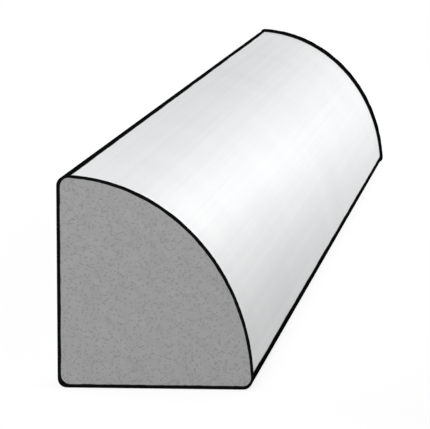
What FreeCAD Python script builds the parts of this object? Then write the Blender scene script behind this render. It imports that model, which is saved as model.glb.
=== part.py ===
# Quarter round moulding: one solid length of stock, in millimetres.
# It lies as it would against a wall: the flat floor face is down on z = 0, the flat wall face
# looks along -X, and the rounded show face looks up and along +X. The length runs along Y.
# The origin is the middle of the rectangle that the piece covers on the floor.
import FreeCAD, Part
import math
import os
from FreeCAD import Vector

# Driving sizes
wall_leg = 19.0  # height of the section up the wall, to the uneased tip
floor_leg = 17.5  # width of the section along the floor, to the uneased tip
stock_length = 203.2  # an eight inch cut, sawn square at both ends
arris_radius = 0.8  # easing of the three long arrises

BISECTIONS = 60  # halvings of a quarter turn, which is finer than any tolerance


def in_section(from_wall, from_floor):
    """A point of the near end's plane, given by its distances from the two flat faces."""
    return Vector(from_wall - floor_leg / 2, -stock_length / 2, from_floor)


def show_point(angle):
    """A point of the show face, a quarter ellipse centred on the square corner.
    The angle runs from 0 at the floor leg's tip to a right angle at the wall leg's tip."""
    return in_section(floor_leg * math.cos(angle), wall_leg * math.sin(angle))


def easing_centre(angle):
    """The centre of a circle of the arris radius that touches the show face from inside there,
    as its distances from the wall face and from the floor face."""
    normal_x = wall_leg * math.cos(angle)
    normal_z = floor_leg * math.sin(angle)
    share = arris_radius / math.hypot(normal_x, normal_z)
    from_wall = floor_leg * math.cos(angle) - share * normal_x
    from_floor = wall_leg * math.sin(angle) - share * normal_z
    return from_wall, from_floor


def touching_angle(face):
    """Where the easing meets the show face: its circle there also touches the flat face,
    which is 0 for the wall face and 1 for the floor face."""
    near, far = (math.pi / 2, 0.0) if face == 0 else (0.0, math.pi / 2)
    for _ in range(BISECTIONS):
        middle = (near + far) / 2
        if easing_centre(middle)[face] < arris_radius:
            near = middle
        else:
            far = middle
    return middle


def easing(centre, start, end):
    """The arc that eases an arris, from start to end on the side away from the centre's stock."""
    outward = (start + end) * 0.5 - centre
    return Part.Arc(start, centre + outward.normalize() * arris_radius, end).toShape()


def show_curve(start, end):
    """The part of the quarter ellipse between two of its points."""
    corner, floor_tip, wall_tip = in_section(0, 0), show_point(0), show_point(math.pi / 2)
    if wall_leg >= floor_leg:
        ellipse = Part.Ellipse(wall_tip, floor_tip, corner)
    else:
        ellipse = Part.Ellipse(floor_tip, wall_tip, corner)
    first, last = ellipse.parameter(start), ellipse.parameter(end)
    if (last - first) % (2 * math.pi) > math.pi:
        first, last = last, first
    return Part.ArcOfEllipse(ellipse, first, last).toShape()


def section():
    """The near end of the stock: two flat legs, the show curve and three eased arrises."""
    floor_angle, wall_angle = touching_angle(1), touching_angle(0)
    floor_centre = easing_centre(floor_angle)
    wall_centre = easing_centre(wall_angle)
    floor_start, floor_end = in_section(arris_radius, 0), in_section(floor_centre[0], 0)
    wall_start, wall_end = in_section(0, wall_centre[1]), in_section(0, arris_radius)
    edges = [
        Part.makeLine(floor_start, floor_end),
        easing(in_section(*floor_centre), floor_end, show_point(floor_angle)),
        show_curve(show_point(floor_angle), show_point(wall_angle)),
        easing(in_section(*wall_centre), show_point(wall_angle), wall_start),
        Part.makeLine(wall_start, wall_end),
        easing(in_section(arris_radius, arris_radius), wall_end, floor_start),
    ]
    return Part.Face(Part.Wire(edges))


os.makedirs("parts", exist_ok=True)
quarter_round = section().extrude(Vector(0, stock_length, 0))
quarter_round.exportStep("parts/quarter_round.step")
print("volume", round(quarter_round.Volume, 1), "mm3, valid", quarter_round.isValid())
print("bounds", quarter_round.BoundBox)
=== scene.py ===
import bpy
import math
from mathutils import Matrix, Vector


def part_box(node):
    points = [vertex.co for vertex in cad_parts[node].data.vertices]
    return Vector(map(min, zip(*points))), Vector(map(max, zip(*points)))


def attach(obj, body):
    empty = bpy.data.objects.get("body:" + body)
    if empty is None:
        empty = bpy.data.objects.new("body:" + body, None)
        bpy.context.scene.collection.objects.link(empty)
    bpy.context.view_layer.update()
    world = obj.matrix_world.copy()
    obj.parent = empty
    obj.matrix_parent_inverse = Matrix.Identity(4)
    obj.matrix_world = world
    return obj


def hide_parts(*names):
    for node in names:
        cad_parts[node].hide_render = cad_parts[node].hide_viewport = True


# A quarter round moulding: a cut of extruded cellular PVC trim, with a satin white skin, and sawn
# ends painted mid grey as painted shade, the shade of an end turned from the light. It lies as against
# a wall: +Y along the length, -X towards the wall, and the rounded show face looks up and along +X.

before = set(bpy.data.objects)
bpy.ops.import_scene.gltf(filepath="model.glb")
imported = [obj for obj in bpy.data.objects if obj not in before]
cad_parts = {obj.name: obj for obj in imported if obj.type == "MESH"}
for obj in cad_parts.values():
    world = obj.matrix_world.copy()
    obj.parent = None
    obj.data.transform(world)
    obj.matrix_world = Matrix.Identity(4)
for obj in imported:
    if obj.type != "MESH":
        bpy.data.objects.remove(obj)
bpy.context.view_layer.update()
mm = 0.001

print("stage 1: the packed stock is loaded")


def linearColour(hexText):  # "#rrggbb" as sRGB, made linear
    shares = [int(hexText[i:i + 2], 16) / 255 for i in (1, 3, 5)]
    linear = [s / 12.92 if s <= 0.04045 else ((s + 0.055) / 1.055) ** 2.4 for s in shares]
    return (*linear, 1.0)


def addNode(tree, kind, inputs=(), **settings):  # a node with its settings, values and links
    node = tree.nodes.new(kind)
    for name, value in settings.items():
        setattr(node, name, value)
    for name, value in inputs.items() if isinstance(inputs, dict) else enumerate(inputs):
        if isinstance(value, bpy.types.NodeSocket):
            tree.links.new(value, node.inputs[name])
        else:
            node.inputs[name].default_value = value
    return node.outputs[0] if node.outputs else None


# Camera: in front of the near end, a little to the right and above, looking along the stock
viewpoint = {
    "place": (38.64, -434.77, 53.11),  # mm
    "azimuth": 5.692,  # degrees to the right of the near end's square view
    "elevation": 6.381,
    "roll": -0.188,
    "lens": 318.7,  # mm, on the usual 36 mm sensor
    "clipStart": 0.01,  # m
}


def addCamera(view):
    data = bpy.data.cameras.new("camera")
    data.lens = view["lens"]
    data.clip_start = view["clipStart"]
    camera = bpy.data.objects.new("camera", data)
    bpy.context.scene.collection.objects.link(camera)
    turn = Matrix.Rotation(math.radians(view["azimuth"]), 4, "Z")
    tip = Matrix.Rotation(math.radians(90 - view["elevation"]), 4, "X")
    roll = Matrix.Rotation(math.radians(view["roll"]), 4, "Z")
    camera.matrix_world = Matrix.Translation(Vector(view["place"]) * mm) @ turn @ tip @ roll
    bpy.context.scene.camera = camera


addCamera(viewpoint)
print("stage 2: the camera looks along the stock")

# Stock: the eased quarter ellipse, swept from one sawn end to the other
lowest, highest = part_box("quarter_round")
stock = {
    "floorLeg": 17.5,  # mm, width along the floor to the uneased tip
    "wallLeg": 19.0,  # mm, height up the wall to the uneased tip
    "arrisRadius": 0.8,  # mm, easing of the three long arrises
    "stockLength": (highest.y - lowest.y) / mm,  # mm, sawn end to sawn end
    "cutEasing": 0.08,  # mm, the flat faces' edge at a sawn end, worn just dull
    "nearBurr": 0.1,  # mm, the burr that the saw drags out at the tips of the show face's curve
    "farBurr": 0.35,  # mm, more of it, for that end hung free in the cut
    "nearSwell": 0.19,  # mm that the near burr gains towards the middle of the curve
    "farSwell": 0.09,  # mm, what the far one gains
    "burrEnd": 0.5,  # lean at which the burr dies out: 1 at a tip of the curve, 0 at 45 degrees past it
    "cutRaggedness": 0.08,  # share by which the easing and the burrs come and go
    "chatterScale": 1.1,  # per mm round the section, how closely they do
    "chatterApart": 40.0,  # mm between the spots of noise that the two ends read
    "sectionStep": 0.25,  # mm between points round the section
    "showSteps": 116,  # points of the show curve before the section is resampled
    "arrisSteps": 8,  # points round an arris's easing before that
    "easingSteps": 4,  # rings through the easing at a cut
    "lengthSteps": 40,  # spaces between the rings from one easing to the other
    "endFacing": 0.995,  # how squarely a sawn end's faces look along the length, at the least
}
noiseLow, noiseHigh = 0.3, 0.7  # most of a noise texture lies between them


def easedSection(tree, given):  # the eased quarter ellipse in its own plane, in mm
    turning = {"Resolution": given["showSteps"], "Radius": 1.0, "Sweep Angle": math.pi / 2,
               "Connect Center": True}
    quarter = addNode(tree, "GeometryNodeCurveArc", turning)
    legs = addNode(tree, "ShaderNodeCombineXYZ", [given["floorLeg"], given["wallLeg"], 1.0])
    stretched = addNode(tree, "GeometryNodeTransform", {"Geometry": quarter, "Scale": legs})

    # points of the show curve too near a tip make room for its easing
    index = addNode(tree, "GeometryNodeInputIndex")
    lastShow = addNode(tree, "ShaderNodeMath", [given["showSteps"], 1.0], operation="SUBTRACT")
    fromLast = addNode(tree, "ShaderNodeMath", [lastShow, index], operation="SUBTRACT")
    fromTip = addNode(tree, "ShaderNodeMath", [index, fromLast], operation="MINIMUM")
    showLength = addNode(tree, "ShaderNodeMath", [given["floorLeg"], math.pi / 2], operation="MULTIPLY")
    spacing = addNode(tree, "ShaderNodeMath", [showLength, lastShow], operation="DIVIDE")
    roomSteps = addNode(tree, "ShaderNodeMath", [given["arrisRadius"], spacing], operation="DIVIDE")
    roomEnd = addNode(tree, "ShaderNodeMath", [roomSteps, 1.0], operation="ADD")
    pastTip = addNode(tree, "ShaderNodeMath", [fromTip, 0.5], operation="GREATER_THAN")
    beforeRoom = addNode(tree, "ShaderNodeMath", [fromTip, roomEnd], operation="LESS_THAN")
    crowding = addNode(tree, "ShaderNodeMath", [pastTip, beforeRoom], operation="MULTIPLY")
    cleared = addNode(tree, "GeometryNodeDeleteGeometry", [stretched, crowding], domain="POINT")

    # the first point is the floor tip, and the last two are the wall tip and the square corner
    size = addNode(tree, "GeometryNodeAttributeDomainSize", [cleared], component="CURVE")
    pointCount = size.node.outputs["Point Count"]
    lastTwo = addNode(tree, "ShaderNodeMath", [pointCount, 2.5], operation="SUBTRACT")
    isLast = addNode(tree, "ShaderNodeMath", [index, lastTwo], operation="GREATER_THAN")
    isFirst = addNode(tree, "ShaderNodeMath", [index, 0.5], operation="LESS_THAN")
    isArris = addNode(tree, "ShaderNodeMath", [isFirst, isLast], operation="MAXIMUM")
    radius = addNode(tree, "ShaderNodeMath", [isArris, given["arrisRadius"]], operation="MULTIPLY")
    filleting = {"Curve": cleared, "Count": given["arrisSteps"], "Radius": radius}
    eased = addNode(tree, "GeometryNodeFilletCurve", filleting, mode="POLY")
    return addNode(tree, "GeometryNodeResampleCurve", {"Curve": eased, "Length": given["sectionStep"]},
                   mode="LENGTH")


def ringPlaces(tree, given, rings):  # where each point of the unit sweep goes on the stock, in mm
    sweptPlace = addNode(tree, "GeometryNodeInputPosition")
    swept = addNode(tree, "ShaderNodeSeparateXYZ", [sweptPlace]).node.outputs
    ringAt = addNode(tree, "ShaderNodeMath", [swept["Z"], rings], operation="MULTIPLY")
    ring = addNode(tree, "ShaderNodeMath", [ringAt], operation="ROUND")
    fromOther = addNode(tree, "ShaderNodeMath", [rings, ring], operation="SUBTRACT")
    fromCut = addNode(tree, "ShaderNodeMath", [ring, fromOther], operation="MINIMUM")
    leaning = addNode(tree, "ShaderNodeMath", [0.5, swept["Z"]], operation="SUBTRACT")
    end = addNode(tree, "ShaderNodeMath", [leaning], operation="SIGN")

    # the saw leaves an edge that comes and goes
    apart = addNode(tree, "ShaderNodeMath", [end, given["chatterApart"]], operation="MULTIPLY")
    spot = addNode(tree, "ShaderNodeCombineXYZ", [swept["X"], swept["Y"], apart])
    chattering = {"Vector": spot, "Scale": given["chatterScale"], "Detail": 3.0}
    chatter = addNode(tree, "ShaderNodeTexNoise", chattering)
    most = addNode(tree, "ShaderNodeMath", [1.0, given["cutRaggedness"]], operation="ADD")
    least = addNode(tree, "ShaderNodeMath", [1.0, given["cutRaggedness"]], operation="SUBTRACT")
    raggedness = {"Value": chatter, "From Min": noiseLow, "From Max": noiseHigh,
                  "To Min": least, "To Max": most}
    ragged = addNode(tree, "ShaderNodeMapRange", raggedness)
    easing = addNode(tree, "ShaderNodeMath", [given["cutEasing"], ragged], operation="MULTIPLY")

    # rings at a cut turn through the easing, and the rest share out the length, closer to the cuts
    turned = addNode(tree, "ShaderNodeMath", [fromCut, given["easingSteps"]], operation="DIVIDE",
                     use_clamp=True)
    turn = addNode(tree, "ShaderNodeMath", [turned, math.pi / 2], operation="MULTIPLY")
    sine = addNode(tree, "ShaderNodeMath", [turn], operation="SINE")
    cosine = addNode(tree, "ShaderNodeMath", [turn], operation="COSINE")
    dulledBy = addNode(tree, "ShaderNodeMath", [1.0, sine], operation="SUBTRACT")
    run = addNode(tree, "ShaderNodeMath", [1.0, cosine], operation="SUBTRACT")
    halfLength = addNode(tree, "ShaderNodeMath", [given["stockLength"], 2.0], operation="DIVIDE")
    halfSteps = addNode(tree, "ShaderNodeMath", [given["lengthSteps"], 2.0], operation="DIVIDE")
    bodySteps = addNode(tree, "ShaderNodeMath", [fromCut, given["easingSteps"]], operation="SUBTRACT")
    even = addNode(tree, "ShaderNodeMath", [bodySteps, halfSteps], operation="DIVIDE", use_clamp=True)
    share = addNode(tree, "ShaderNodeMath", [even, even], operation="MULTIPLY")
    easedRun = addNode(tree, "ShaderNodeMath", [easing, run], operation="MULTIPLY")
    bodyLength = addNode(tree, "ShaderNodeMath", [halfLength, easing], operation="SUBTRACT")
    depth = addNode(tree, "ShaderNodeMath", [share, bodyLength, easedRun], operation="MULTIPLY_ADD")
    fromMiddle = addNode(tree, "ShaderNodeMath", [halfLength, depth], operation="SUBTRACT")
    along = addNode(tree, "ShaderNodeMath", [end, fromMiddle], operation="MULTIPLY")

    # the edges of the flat faces are dulled inwards, and the show face's is dragged out to a burr
    outward = addNode(tree, "GeometryNodeInputNamedAttribute", ["outward"], data_type="FLOAT_VECTOR")
    lean = addNode(tree, "ShaderNodeVectorMath", [outward, (1, 1, 0)], operation="DOT_PRODUCT")
    onShow = {"Value": lean.node.outputs["Value"], "From Min": given["burrEnd"]}
    showSide = addNode(tree, "ShaderNodeMapRange", onShow)  # 1 up to the tips
    flatSide = addNode(tree, "ShaderNodeMath", [1.0, showSide], operation="SUBTRACT")
    dulling = addNode(tree, "ShaderNodeMath", [easing, dulledBy], operation="MULTIPLY")
    dulled = addNode(tree, "ShaderNodeMath", [dulling, flatSide], operation="MULTIPLY")
    burrs = {"Value": swept["Z"], "To Min": given["farBurr"], "To Max": given["nearBurr"]}
    tipBurr = addNode(tree, "ShaderNodeMapRange", burrs)  # the sweep starts at the far end
    swells = {"Value": swept["Z"], "To Min": given["farSwell"], "To Max": given["nearSwell"]}
    midSwell = addNode(tree, "ShaderNodeMapRange", swells)
    swelling = {"Value": lean.node.outputs["Value"], "From Min": 1.0, "From Max": math.sqrt(2),
                "To Max": midSwell}
    swell = addNode(tree, "ShaderNodeMapRange", swelling)
    burrHeight = addNode(tree, "ShaderNodeMath", [tipBurr, swell])
    burrHere = addNode(tree, "ShaderNodeMath", [burrHeight, ragged], operation="MULTIPLY")
    burrSide = addNode(tree, "ShaderNodeMath", [burrHere, showSide], operation="MULTIPLY")
    burr = addNode(tree, "ShaderNodeMath", [burrSide, cosine], operation="MULTIPLY")
    step = addNode(tree, "ShaderNodeMath", [burr, dulled], operation="SUBTRACT")
    outwards = addNode(tree, "ShaderNodeVectorMath", {0: outward, "Scale": step}, operation="SCALE")
    corner = addNode(tree, "ShaderNodeMath", [given["floorLeg"], -0.5], operation="MULTIPLY")
    centring = addNode(tree, "ShaderNodeCombineXYZ", [corner, 0.0, 0.0])
    centred = addNode(tree, "ShaderNodeVectorMath", [sweptPlace, centring])
    placed = addNode(tree, "ShaderNodeVectorMath", [centred, outwards])
    flat = addNode(tree, "ShaderNodeSeparateXYZ", [placed]).node.outputs
    return addNode(tree, "ShaderNodeCombineXYZ", [flat["X"], along, flat["Y"]])


def quarterRoundTree(sizes):
    tree = bpy.data.node_groups.new("quarterRoundTree", "GeometryNodeTree")
    for name, value in sizes.items():
        kind = "NodeSocketInt" if isinstance(value, int) else "NodeSocketFloat"
        tree.interface.new_socket(name, in_out="INPUT", socket_type=kind)
    for name in ("skin", "core"):
        tree.interface.new_socket(name, in_out="INPUT", socket_type="NodeSocketMaterial")
    tree.interface.new_socket("stock", in_out="OUTPUT", socket_type="NodeSocketGeometry")
    given = addNode(tree, "NodeGroupInput").node.outputs

    # the section remembers which way is out
    section = easedSection(tree, given)
    tangent = addNode(tree, "GeometryNodeInputTangent")
    outward = addNode(tree, "ShaderNodeVectorMath", [tangent, (0, 0, 1)], operation="CROSS_PRODUCT")
    marking = {"Geometry": section, "Name": "outward", "Value": outward}
    marked = addNode(tree, "GeometryNodeStoreNamedAttribute", marking, data_type="FLOAT_VECTOR")

    # swept up a unit path, one ring to each step, and then laid out at its real size
    cuts = addNode(tree, "ShaderNodeMath", [given["easingSteps"], 2.0], operation="MULTIPLY")
    rings = addNode(tree, "ShaderNodeMath", [given["lengthSteps"], cuts], operation="ADD")
    pathPoints = addNode(tree, "ShaderNodeMath", [rings, 1.0], operation="ADD")
    path = addNode(tree, "GeometryNodeCurvePrimitiveLine", {"End": (0, 0, 1)})
    stepped = addNode(tree, "GeometryNodeResampleCurve", {"Curve": path, "Count": pathPoints})
    sweeping = {"Curve": stepped, "Profile Curve": marked, "Fill Caps": True}
    swept = addNode(tree, "GeometryNodeCurveToMesh", sweeping)
    place = addNode(tree, "ShaderNodeVectorMath", {0: ringPlaces(tree, given, rings), "Scale": mm},
                    operation="SCALE")
    laid = addNode(tree, "GeometryNodeSetPosition", {"Geometry": swept, "Position": place})

    # the long faces are smooth and have the skin, and the sawn ends are flat and show the core
    normal = addNode(tree, "GeometryNodeInputNormal")
    facing = addNode(tree, "ShaderNodeSeparateXYZ", [normal]).node.outputs["Y"]
    squareness = addNode(tree, "ShaderNodeMath", [facing], operation="ABSOLUTE")
    isEnd = addNode(tree, "ShaderNodeMath", [squareness, given["endFacing"]], operation="GREATER_THAN")
    isLong = addNode(tree, "ShaderNodeMath", [1.0, isEnd], operation="SUBTRACT")
    smooth = addNode(tree, "GeometryNodeSetShadeSmooth", {"Geometry": laid, "Shade Smooth": isLong})
    plain = addNode(tree, "GeometryNodeRemoveAttribute", {"Geometry": smooth, "Name": "outward"})
    real = addNode(tree, "GeometryNodeRealizeInstances", {"Geometry": plain})
    skinned = addNode(tree, "GeometryNodeSetMaterial", {"Geometry": real, "Material": given["skin"]})
    coring = {"Geometry": skinned, "Selection": isEnd, "Material": given["core"]}
    addNode(tree, "NodeGroupOutput", [addNode(tree, "GeometryNodeSetMaterial", coring)])
    return tree


def makeFromTree(name, tree, values):  # runs the tree once and keeps its result as a plain mesh
    maker = bpy.data.objects.new(name + "Maker", bpy.data.meshes.new(name + "Maker"))
    bpy.context.scene.collection.objects.link(maker)
    modifier = maker.modifiers.new("maker", "NODES")
    modifier.node_group = tree
    for socket in tree.interface.items_tree:
        if socket.in_out == "INPUT":
            modifier[socket.identifier] = values[socket.name]
    made = maker.evaluated_get(bpy.context.evaluated_depsgraph_get())
    mesh = bpy.data.meshes.new_from_object(made)
    bpy.data.objects.remove(maker)
    mesh.name = name
    piece = bpy.data.objects.new(name, mesh)
    bpy.context.scene.collection.objects.link(piece)
    return piece


# Satin skin of extruded cellular PVC, sized by the die while hot: white with a faint blue, smooth,
# with a soft sheen, drawn lines along the length and a little orange peel. Near-black lines are
# painted along the arrises and the sawn edges, as dark outlines of the edges.
skinFinish = {
    "white": "#f2f3f4",
    "shade": "#edeef0",  # where the drawn lines and the mottling are at their greyest
    # near black, painted along the arrises and the sawn edges as dark edge lines
    "darkLine": "#0e0f10",
    # mm that the painted dark line reaches from the middle of the easing of the floor, the wall and the
    # square arris
    "arrisLineReaches": (1.1, 0.93, 0.8),
    "arrisFade": 0.14,  # mm over which it then fades
    "cutLineReach": 0.8,  # mm that the painted dark line reaches along the skin from a sawn end
    "cutFade": 1.0,  # mm
    "darkLineWander": 0.045,  # mm to each side
    "roughness": 0.42,
    "roughnessSpread": 0.02,  # to each side, with the drawn lines and the mottling
    "darkLineRoughness": 0.5,  # what the painted dark line adds
    "gloss": 0.5,  # specular level where it is clean
    "darkLineGloss": 0.0,  # the painted dark line has none, and stays dark at grazing angles
    "ior": 1.53,
    "lineWidth": 0.45,  # mm across a drawn line
    "lineRun": 0.004,  # how closely a line varies along the length, against across it
    "lineHeight": 0.0013,  # mm
    "mottleScale": 0.06,  # per mm
    "greyRange": (0.8, 1.25),  # lines and mottling added up, where it is white and where it is shade
    "sheenRange": (0.75, 1.25),  # the same, where it is smoothest and where it is roughest
    "peelSize": 1.6,  # mm across a dimple of orange peel
    "peelHeight": 0.0008,  # mm
}

# Foamed core of cellular PVC, sawn square with a fine mitre blade: matt, and painted mid grey as the
# shade of an end turned from the light, with the closed cells cut open as pin holes, and the shallow
# arcs that the teeth leave.
coreFinish = {
    # painted shade: this mid grey stands for the shade of an end turned from the light
    "grey": "#979797",
    "pale": "#9e9e9e",  # where the clouding is at its palest
    "cell": "#8e8e8e",  # inside a cut cell, darker as painted shade in the pin hole
    # near black, painted along the outline of a sawn end as a dark edge line
    "darkLine": "#0e0f10",
    "cutLineReach": 0.24,  # mm that the painted dark line reaches in from the flat faces' dulled edges
    "burrLineReach": 0.01,  # mm that it reaches in from the foot of the burr
    "tipLineReach": 0.12,  # mm, what that gains towards the tips of the curve, where the burr is lower
    "cutFade": 0.04,  # mm
    "darkLineWander": 0.02,  # mm to each side
    "roughness": 0.85,
    "gloss": 0.5,
    "darkLineGloss": 0.0,
    "ior": 1.53,
    "cellSize": 0.2,  # mm; real cells are nearer 0.1 mm, drawn this coarse to show
    "holeSize": 0.45,  # of a cell, from its middle to its rim, where it is cut widest open
    "rimSize": 0.15,  # of a cell, over which the hole's edge rounds off
    "cellDepth": 0.012,  # mm
    "grainScale": 0.8,  # per mm, of the clouding in the grey
    "grainRange": (0.2, 0.8),  # clouding and saw marks added up, where it is greyest and palest
    "toothPitch": 1.3,  # mm between saw marks
    "toothDepth": 0.006,  # mm
    "toothTone": 0.08,  # how much the saw marks show in the grey
    "bladeCentre": (95.0, 118.0),  # mm across and up, for a blade 300 mm across
    "bladeDrift": 1.4,  # mm that the blade wandered
    "driftScale": 0.35,  # per mm
}
wanderScale = (0.9, 0.11, 0.9)  # per mm, so that a painted dark line's border wanders in stretches along the stock
colourA, colourB, colourOut = 6, 7, 2  # the sockets of a mix node that take and give colours


def stockPlace(tree):  # the spot on the stock in mm, from its own object coordinates
    spot = addNode(tree, "ShaderNodeTexCoord").node.outputs["Object"]
    return addNode(tree, "ShaderNodeVectorMath", {0: spot, "Scale": 1 / mm}, operation="SCALE")


def darkLining(tree, place, past, fade, wander):  # 1 on a painted dark line, fading out past its border
    stretched = addNode(tree, "ShaderNodeVectorMath", [place, wanderScale], operation="MULTIPLY")
    stretches = addNode(tree, "ShaderNodeTexNoise", {"Vector": stretched, "Scale": 1.0, "Detail": 4.0})
    shift = addNode(tree, "ShaderNodeMapRange", {
        "Value": stretches, "From Min": noiseLow, "From Max": noiseHigh,
        "To Min": -wander, "To Max": wander})
    shifted = addNode(tree, "ShaderNodeMath", [past, shift])
    return addNode(tree, "ShaderNodeMapRange", {
        "Value": shifted, "From Max": fade, "To Min": 1.0, "To Max": 0.0}, interpolation_type="SMOOTHSTEP")


def skinDarkLines(tree, place, sizes, finish):  # 1 where a dark line is fully painted along an arris or a sawn edge
    section = addNode(tree, "ShaderNodeVectorMath", [place, (1, 0, 1)], operation="MULTIPLY")
    half, height = sizes["floorLeg"] / 2, sizes["wallLeg"]
    setIn = sizes["arrisRadius"] * (1 - math.sqrt(0.5))  # from each side to the middle of an easing
    middles = ((half - setIn, 0, setIn), (setIn - half, 0, height - setIn), (setIn - half, 0, setIn))
    pastEach = []
    for middle, reach in zip(middles, finish["arrisLineReaches"]):
        away = addNode(tree, "ShaderNodeVectorMath", [section, middle], operation="DISTANCE")
        past = addNode(tree, "ShaderNodeMath", [away.node.outputs["Value"], reach], operation="SUBTRACT")
        pastEach.append(past)
    pastTips = addNode(tree, "ShaderNodeMath", pastEach[:2], operation="MINIMUM")
    pastArris = addNode(tree, "ShaderNodeMath", [pastTips, pastEach[2]], operation="MINIMUM")
    arris = darkLining(tree, place, pastArris, finish["arrisFade"], finish["darkLineWander"])
    along = addNode(tree, "ShaderNodeSeparateXYZ", [place]).node.outputs["Y"]
    fromMiddle = addNode(tree, "ShaderNodeMath", [along], operation="ABSOLUTE")
    cleanHalf = sizes["stockLength"] / 2 - finish["cutLineReach"]
    pastCut = addNode(tree, "ShaderNodeMath", [cleanHalf, fromMiddle], operation="SUBTRACT")
    cut = darkLining(tree, place, pastCut, finish["cutFade"], finish["darkLineWander"])
    return addNode(tree, "ShaderNodeMath", [arris, cut], operation="MAXIMUM")


def coreDarkLines(tree, place, sizes, finish):  # 1 where a dark line is painted along the outline of a sawn end
    spot = addNode(tree, "ShaderNodeSeparateXYZ", [place]).node.outputs
    fromWall = addNode(tree, "ShaderNodeMath", [spot["X"], sizes["floorLeg"] / 2])
    across = addNode(tree, "ShaderNodeMath", [fromWall, sizes["floorLeg"]], operation="DIVIDE")
    up = addNode(tree, "ShaderNodeMath", [spot["Z"], sizes["wallLeg"]], operation="DIVIDE")
    reach = addNode(tree, "ShaderNodeCombineXYZ", [across, up, 0.0])
    reached = addNode(tree, "ShaderNodeVectorMath", [reach], operation="LENGTH").node.outputs["Value"]
    meanLeg = math.sqrt(sizes["floorLeg"] * sizes["wallLeg"])
    fromShow = addNode(tree, "ShaderNodeMath", [reached, -meanLeg, meanLeg], operation="MULTIPLY_ADD")

    # the three sides meet at right angles, so near an arris the distances add up as a round corner's
    sides = addNode(tree, "ShaderNodeCombineXYZ", [fromWall, spot["Z"], fromShow])
    radius, easing = sizes["arrisRadius"], sizes["cutEasing"]
    flatReach = radius + easing + finish["cutLineReach"]
    tipReach = radius + finish["burrLineReach"] + finish["tipLineReach"]
    midway = addNode(tree, "ShaderNodeMath", [across, up], operation="MULTIPLY")  # up to a half
    burrReach = addNode(tree, "ShaderNodeMath", [midway, -2 * finish["tipLineReach"], tipReach],
                        operation="MULTIPLY_ADD")
    reaches = addNode(tree, "ShaderNodeCombineXYZ", [flatReach, flatReach, burrReach])
    short = addNode(tree, "ShaderNodeVectorMath", [reaches, sides], operation="SUBTRACT")
    shorter = addNode(tree, "ShaderNodeVectorMath", [short, (0, 0, 0)], operation="MAXIMUM")
    fromCentre = addNode(tree, "ShaderNodeVectorMath", [shorter], operation="LENGTH")
    past = addNode(tree, "ShaderNodeMath", [radius, fromCentre.node.outputs["Value"]],
                   operation="SUBTRACT")
    return darkLining(tree, place, past, finish["cutFade"], finish["darkLineWander"])


def newMaterial(name, finish):  # a principled material, its tree and its shader
    material = bpy.data.materials.new(name)
    material.use_nodes = True
    shader = material.node_tree.nodes["Principled BSDF"]
    shader.inputs["IOR"].default_value = finish["ior"]
    return material, material.node_tree, shader


def glossOffDarkLines(tree, shader, darkLine, finish):  # takes the gloss off the painted dark lines
    specular = addNode(tree, "ShaderNodeMapRange", {
        "Value": darkLine, "To Min": finish["gloss"], "To Max": finish["darkLineGloss"]})
    tree.links.new(specular, shader.inputs["Specular IOR Level"])


def skinMaterial(sizes, finish):
    material, tree, shader = newMaterial("extrudedPvcSkin", finish)
    place = stockPlace(tree)
    darkLine = skinDarkLines(tree, place, sizes, finish)
    lineGrain = (1, finish["lineRun"], 1)
    drawn = addNode(tree, "ShaderNodeVectorMath", [place, lineGrain], operation="MULTIPLY")
    lining = {"Vector": drawn, "Scale": 1 / finish["lineWidth"], "Detail": 2.0}
    lines = addNode(tree, "ShaderNodeTexNoise", lining)
    mottling = {"Vector": place, "Scale": finish["mottleScale"], "Detail": 3.0}
    mottle = addNode(tree, "ShaderNodeTexNoise", mottling)
    peeling = {"Vector": place, "Scale": 1 / finish["peelSize"], "Detail": 2.0}
    peel = addNode(tree, "ShaderNodeTexNoise", peeling)

    greying = addNode(tree, "ShaderNodeMath", [lines, mottle])
    whitest, greyest = finish["greyRange"]
    greyShare = addNode(tree, "ShaderNodeMapRange", {
        "Value": greying, "From Min": whitest, "From Max": greyest})
    white = addNode(tree, "ShaderNodeMix", {
        "Factor": greyShare, colourA: linearColour(finish["white"]), colourB: linearColour(finish["shade"])},
        data_type="RGBA").node.outputs[colourOut]
    colour = addNode(tree, "ShaderNodeMix", {
        "Factor": darkLine, colourA: white, colourB: linearColour(finish["darkLine"])},
        data_type="RGBA").node.outputs[colourOut]
    tree.links.new(colour, shader.inputs["Base Color"])

    smoothest, roughest = finish["sheenRange"]
    clean = addNode(tree, "ShaderNodeMapRange", {
        "Value": greying, "From Min": smoothest, "From Max": roughest,
        "To Min": finish["roughness"] - finish["roughnessSpread"],
        "To Max": finish["roughness"] + finish["roughnessSpread"]})
    roughness = addNode(tree, "ShaderNodeMath", [darkLine, finish["darkLineRoughness"], clean],
                        operation="MULTIPLY_ADD")
    tree.links.new(roughness, shader.inputs["Roughness"])
    glossOffDarkLines(tree, shader, darkLine, finish)
    height = addNode(tree, "ShaderNodeMath", [lines, finish["lineHeight"]], operation="MULTIPLY")
    height = addNode(tree, "ShaderNodeMath", [peel, finish["peelHeight"], height], operation="MULTIPLY_ADD")
    bump = addNode(tree, "ShaderNodeBump", {"Strength": 1.0, "Distance": mm, "Height": height})
    tree.links.new(bump, shader.inputs["Normal"])
    return material


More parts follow.
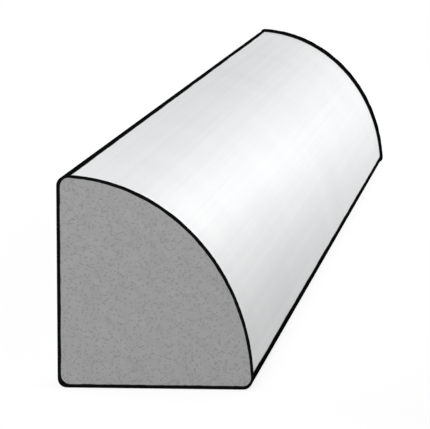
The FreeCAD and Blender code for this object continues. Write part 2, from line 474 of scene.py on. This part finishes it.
def coreMaterial(sizes, finish):
    material, tree, shader = newMaterial("sawnPvcEndPaintedShade", finish)
    place = stockPlace(tree)
    darkLine = coreDarkLines(tree, place, sizes, finish)

    # each cell is cut open at its own level, so the pin holes differ in size
    cells = addNode(tree, "ShaderNodeTexVoronoi", {"Vector": place, "Scale": 1 / finish["cellSize"]})
    level = addNode(tree, "ShaderNodeSeparateXYZ", [cells.node.outputs["Color"]])
    hole = addNode(tree, "ShaderNodeMath", [level, finish["holeSize"]], operation="MULTIPLY")
    rim = addNode(tree, "ShaderNodeMath", [hole, finish["rimSize"]])
    openCell = addNode(tree, "ShaderNodeMapRange", {
        "Value": cells, "From Min": hole, "From Max": rim, "To Min": 1.0, "To Max": 0.0},
        interpolation_type="SMOOTHSTEP")

    # arcs about the middle of the blade, which wandered a little
    bladeX, bladeZ = finish["bladeCentre"]
    section = addNode(tree, "ShaderNodeVectorMath", [place, (1, 0, 1)], operation="MULTIPLY")
    fromBlade = addNode(tree, "ShaderNodeVectorMath", [section, (bladeX, 0, bladeZ)], operation="DISTANCE")
    drifting = {"Vector": place, "Scale": finish["driftScale"], "Detail": 2.0}
    drift = addNode(tree, "ShaderNodeTexNoise", drifting)
    arcs = addNode(tree, "ShaderNodeMath", [drift, finish["bladeDrift"], fromBlade.node.outputs["Value"]],
                   operation="MULTIPLY_ADD")
    phase = addNode(tree, "ShaderNodeMath", [arcs, 2 * math.pi / finish["toothPitch"]],
                    operation="MULTIPLY")
    teeth = addNode(tree, "ShaderNodeMath", [phase], operation="SINE")

    clouding = {"Vector": place, "Scale": finish["grainScale"], "Detail": 4.0}
    grain = addNode(tree, "ShaderNodeTexNoise", clouding)
    tone = addNode(tree, "ShaderNodeMath", [teeth, finish["toothTone"], grain], operation="MULTIPLY_ADD")
    greyest, palest = finish["grainRange"]
    paleShare = addNode(tree, "ShaderNodeMapRange", {"Value": tone, "From Min": greyest, "From Max": palest})
    grey = addNode(tree, "ShaderNodeMix", {
        "Factor": paleShare, colourA: linearColour(finish["grey"]), colourB: linearColour(finish["pale"])},
        data_type="RGBA").node.outputs[colourOut]
    pitted = addNode(tree, "ShaderNodeMix", {
        "Factor": openCell, colourA: grey, colourB: linearColour(finish["cell"])},
        data_type="RGBA").node.outputs[colourOut]
    colour = addNode(tree, "ShaderNodeMix", {
        "Factor": darkLine, colourA: pitted, colourB: linearColour(finish["darkLine"])},
        data_type="RGBA").node.outputs[colourOut]
    tree.links.new(colour, shader.inputs["Base Color"])
    shader.inputs["Roughness"].default_value = finish["roughness"]
    glossOffDarkLines(tree, shader, darkLine, finish)

    height = addNode(tree, "ShaderNodeMath", [openCell, -finish["cellDepth"]], operation="MULTIPLY")
    height = addNode(tree, "ShaderNodeMath", [teeth, finish["toothDepth"], height], operation="MULTIPLY_ADD")
    bump = addNode(tree, "ShaderNodeBump", {"Strength": 1.0, "Distance": mm, "Height": height})
    tree.links.new(bump, shader.inputs["Normal"])
    return material


finishes = {"skin": skinMaterial(stock, skinFinish), "core": coreMaterial(stock, coreFinish)}
quarterRound = makeFromTree("quarterRoundStock", quarterRoundTree(stock), {**stock, **finishes})
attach(quarterRound, "root")
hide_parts("quarter_round")
print("stage 3: the stock has", len(quarterRound.data.polygons), "faces")

# Studio: a large pale floor and a white world, which melt into each other
studio = {
    "floorSize": 12.0,  # m
    "floorColour": "#d2d2d2",
    "floorGlow": 0.6,  # what the floor adds of its own for the background's rays, as a light table
    "floorDrop": 0.05,  # mm under the stock
    "shadowShare": 0.35,  # how much of the floor's own shading the camera sees near the stock
    "shadowFrom": 0.12,  # m from the stock's middle, where the shading starts to fade
    "shadowTo": 0.35,  # m, where the floor is plain white
    "worldLight": 0.35,
}


def backdropRays(tree):  # 1 for the rays that find the white background
    path = addNode(tree, "ShaderNodeLightPath").node.outputs
    direct, mirrored, through = path["Is Camera Ray"], path["Is Glossy Ray"], path["Is Transmission Ray"]
    seen = addNode(tree, "ShaderNodeMath", [direct, mirrored], operation="MAXIMUM")
    return addNode(tree, "ShaderNodeMath", [seen, through], operation="MAXIMUM")


def addFloor(sizes):
    half = sizes["floorSize"] / 2
    mesh = bpy.data.meshes.new("floor")
    mesh.from_pydata([(-half, -half, 0), (half, -half, 0), (half, half, 0), (-half, half, 0)],
                     [], [(0, 1, 2, 3)])
    floor = bpy.data.objects.new("floor", mesh)
    floor.location.z = -sizes["floorDrop"] * mm
    bpy.context.scene.collection.objects.link(floor)
    material = bpy.data.materials.new("paleStudioFloor")
    material.use_nodes = True
    tree = material.node_tree
    tree.nodes.clear()
    rays = backdropRays(tree)
    matt = addNode(tree, "ShaderNodeBsdfDiffuse", [linearColour(sizes["floorColour"])])
    glowing = addNode(tree, "ShaderNodeMath", [rays, sizes["floorGlow"]], operation="MULTIPLY")
    glow = addNode(tree, "ShaderNodeEmission", [(1, 1, 1, 1), glowing])
    lit = addNode(tree, "ShaderNodeAddShader", [matt, glow])
    white = addNode(tree, "ShaderNodeEmission", [(1, 1, 1, 1), 1.0])
    spot = addNode(tree, "ShaderNodeTexCoord").node.outputs["Object"]
    distance = addNode(tree, "ShaderNodeVectorMath", [spot], operation="LENGTH").node.outputs["Value"]
    whiteness = addNode(tree, "ShaderNodeMapRange", {
        "Value": distance, "From Min": sizes["shadowFrom"], "From Max": sizes["shadowTo"],
        "To Min": 1 - sizes["shadowShare"], "To Max": 1.0}, interpolation_type="SMOOTHSTEP")
    share = addNode(tree, "ShaderNodeMath", [whiteness, rays], operation="MULTIPLY")
    surface = addNode(tree, "ShaderNodeMixShader", [share, lit, white])
    addNode(tree, "ShaderNodeOutputMaterial", [surface])
    mesh.materials.append(material)


def lightWorld(sizes):
    world = bpy.data.worlds.new("studioWorld")
    bpy.context.scene.world = world
    world.use_nodes = True
    tree = world.node_tree
    tree.nodes.clear()
    strength = addNode(tree, "ShaderNodeMapRange", {
        "Value": backdropRays(tree), "To Min": sizes["worldLight"], "To Max": 1.0})
    addNode(tree, "ShaderNodeOutputWorld", [addNode(tree, "ShaderNodeBackground", [(1, 1, 1, 1), strength])])


# Lamps: each runs from one point to another, in mm, and faces the point that it is aimed at
lamps = {
    "slantedStrip": {  # draws the bright band along the show face
        "near": (-9, -200, 45), "far": (54, 165, 34), "width": 8,
        "aim": (0, -18, 8), "power": 0.0222},
    "backStrip": {
        "near": (240, 475, 35), "far": (85, 245, 208), "width": 60,
        "aim": (0, 360, 8), "power": 0.67},
    "frontPanel": {
        "near": (-150, -900, 120), "far": (150, -900, 120), "width": 200,
        "aim": (0, -100, 8), "power": 3.25},
    "wallPanel": {
        "near": (-1200, 300, 230), "far": (-500, 1300, 230), "width": 400,
        "aim": (0, 0, 8), "power": 7.5},
}


def addLamp(name, lamp):
    near, far = Vector(lamp["near"]) * mm, Vector(lamp["far"]) * mm
    data = bpy.data.lights.new(name, "AREA")
    data.shape = "RECTANGLE"
    data.size = (far - near).length
    data.size_y = lamp["width"] * mm
    data.energy = lamp["power"]
    light = bpy.data.objects.new(name, data)
    light.visible_camera = False
    bpy.context.scene.collection.objects.link(light)
    middle = (near + far) / 2
    run = (far - near).normalized()
    back = middle - Vector(lamp["aim"]) * mm
    back = (back - run * back.dot(run)).normalized()
    turn = Matrix((run, back.cross(run), back)).transposed().to_4x4()
    light.matrix_world = Matrix.Translation(middle) @ turn


addFloor(studio)
lightWorld(studio)
for name, lamp in lamps.items():
    addLamp(name, lamp)
bpy.context.scene.view_settings.view_transform = "Standard"
print("stage 4: the studio is lit")
